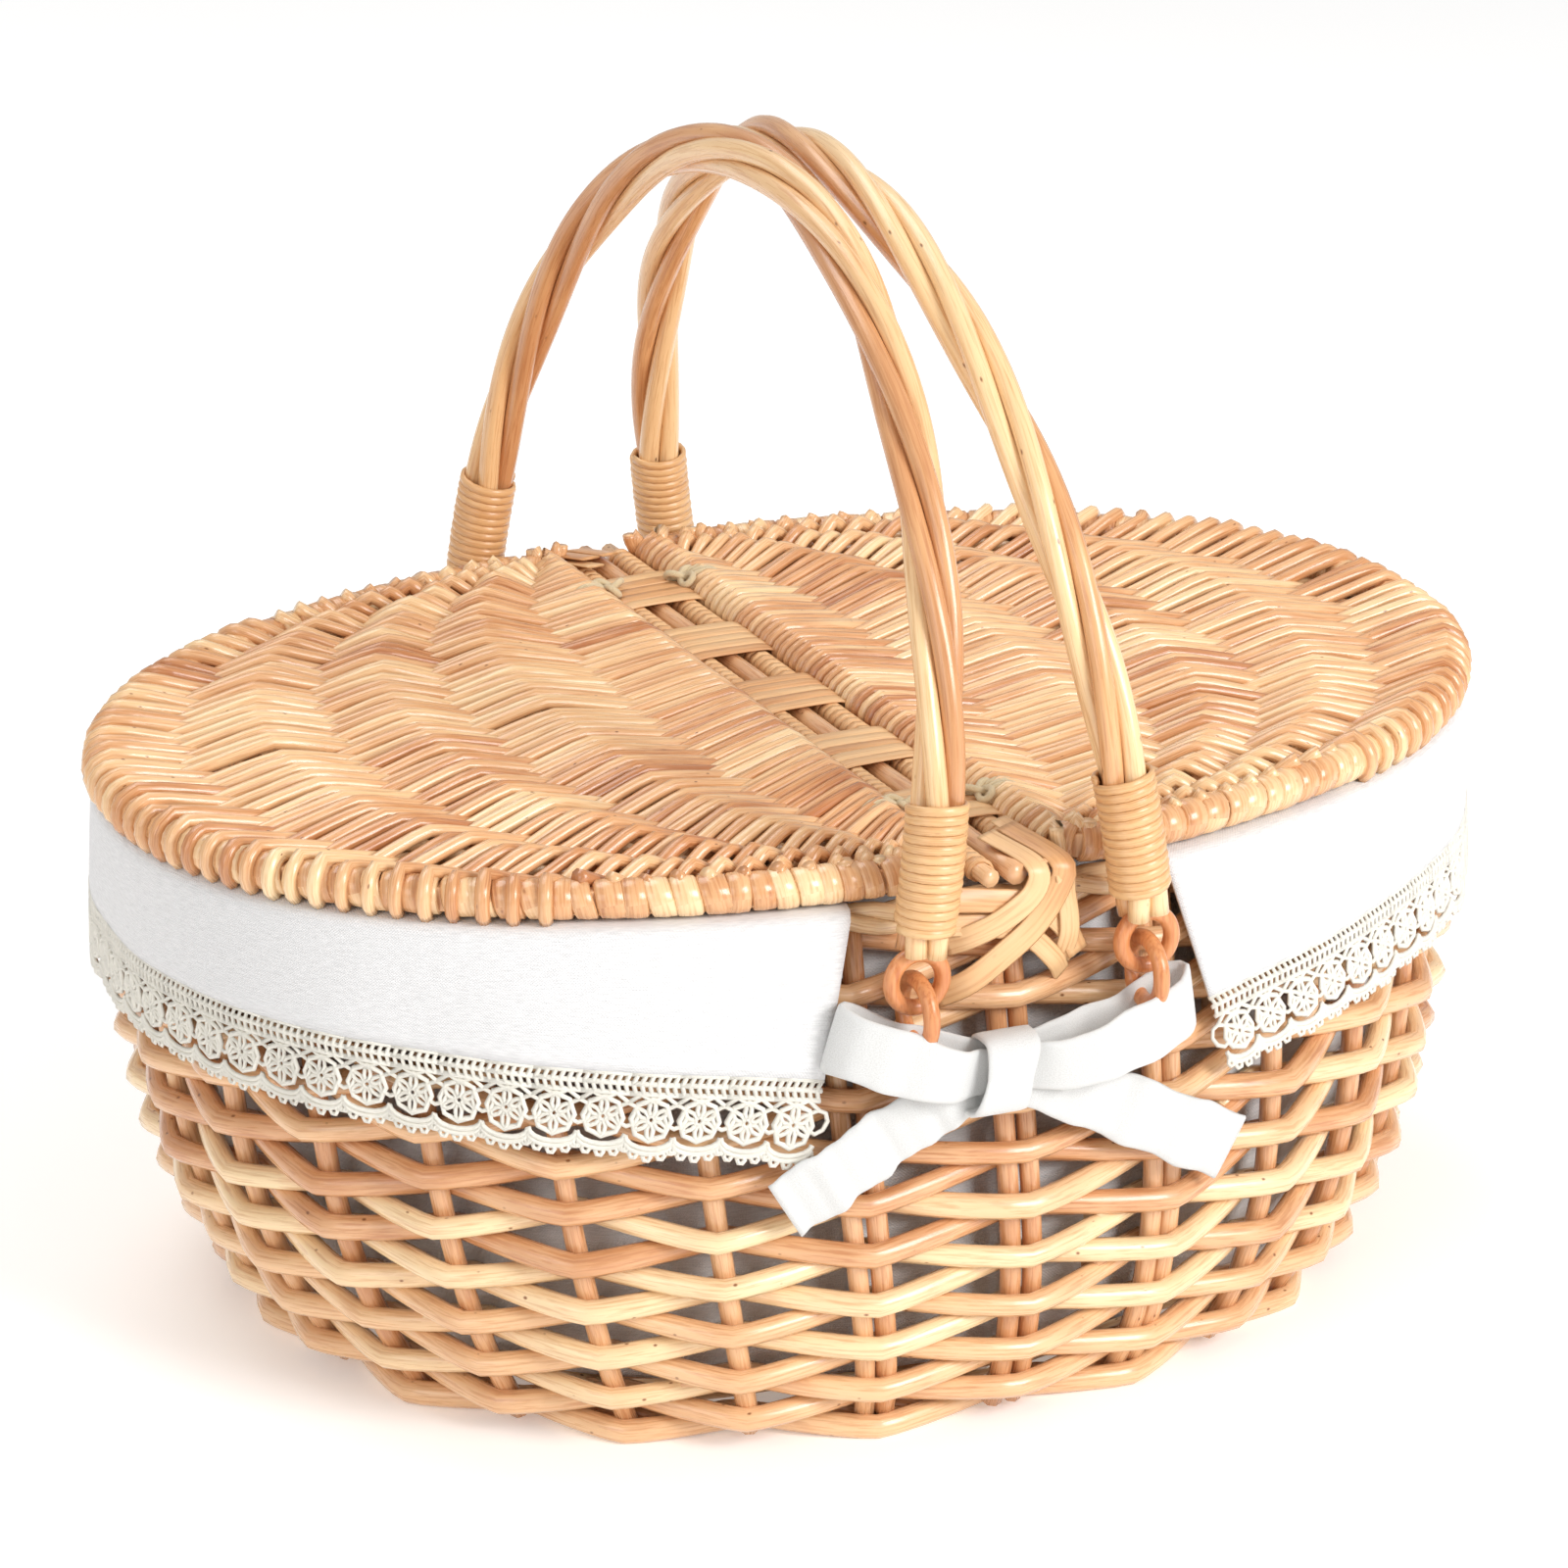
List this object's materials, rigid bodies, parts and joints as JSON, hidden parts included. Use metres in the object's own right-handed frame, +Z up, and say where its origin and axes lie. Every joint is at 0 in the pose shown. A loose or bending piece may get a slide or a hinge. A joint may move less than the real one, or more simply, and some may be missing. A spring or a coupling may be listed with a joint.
{
  "type": "wicker picnic basket",
  "caption": "Oval willow picnic basket with hinged half lids either side of a bridge, swing handles over the middle, a cotton liner with lace edge and tape bows.",
  "frame": {"origin": "on the ground under the middle of the basket", "axes": "+Z up, X along the long axis, Y across it with the front at -Y"},
  "size_m": [0.4004, 0.326, 0.3237],
  "materials": {
    "body_willow": "varnished peeled willow rods, honey to pinkish, satin",
    "lid_willow": "varnished thin willow rods, satin",
    "handle_willow": "varnished thick willow rods, satin",
    "cane": "glossy cane skin",
    "splint": "flat shaved willow splint, satin",
    "rattan": "varnished rattan core, orange-brown",
    "linen": "plain woven white cotton linen",
    "lace": "ivory cotton crochet lace",
    "tape": "white herringbone cotton tape",
    "twine": "cream waxed cotton twine"
  },
  "bodies": {
    "basket": {"base_cross_sticks": "body_willow", "base_long_sticks": "body_willow", "base_weave": "body_willow", "body_loop_back_left": "rattan", "body_loop_back_right": "rattan", "body_loop_front_left": "rattan", "body_loop_front_right": "rattan", "bow_back": "tape", "bow_front": "tape", "bridge_lashing_back": "splint", "bridge_lashing_front": "splint", "bridge_rods": "lid_willow", "bridge_splint": "splint", "foot_border": "body_willow", "lace_left": "lace", "lace_right": "lace", "lid_ties_left": "twine", "lid_ties_right": "twine", "liner_bag": "linen", "side_stakes": "body_willow", "side_weave": "body_willow", "top_border": "body_willow", "valance_left": "linen", "valance_right": "linen"},
    "lid_left": {"lid_left_binding": "lid_willow", "lid_left_hoop": "lid_willow", "lid_left_ribs": "lid_willow", "lid_left_weave": "lid_willow"},
    "lid_right": {"lid_right_binding": "lid_willow", "lid_right_hoop": "lid_willow", "lid_right_ribs": "lid_willow", "lid_right_weave": "lid_willow"},
    "handle_left": {"handle_left_binding_back": "cane", "handle_left_binding_front": "cane", "handle_left_loop_back": "rattan", "handle_left_loop_front": "rattan", "handle_left_rods": "handle_willow"},
    "handle_right": {"handle_right_binding_back": "cane", "handle_right_binding_front": "cane", "handle_right_loop_back": "rattan", "handle_right_loop_front": "rattan", "handle_right_rods": "handle_willow"}
  },
  "joints": [
    {"name": "lid_left_hinge", "type": "hinge", "parent": "basket", "child": "lid_left", "pos_m": [-0.018, 0, 0.15925], "axis": [0, 1, 0], "range_deg": [0, 76]},
    {"name": "lid_right_hinge", "type": "hinge", "parent": "basket", "child": "lid_right", "pos_m": [0.018, 0, 0.15925], "axis": [0, -1, 0], "range_deg": [0, 76]},
    {"name": "handle_left_swing", "type": "hinge", "parent": "basket", "child": "handle_left", "pos_m": [-0.034, 0, 0.137], "axis": [0, -1, 0], "range_deg": [0, 83.5]},
    {"name": "handle_right_swing", "type": "hinge", "parent": "basket", "child": "handle_right", "pos_m": [0.034, 0, 0.137], "axis": [0, 1, 0], "range_deg": [0, 83.5]}
  ]
}
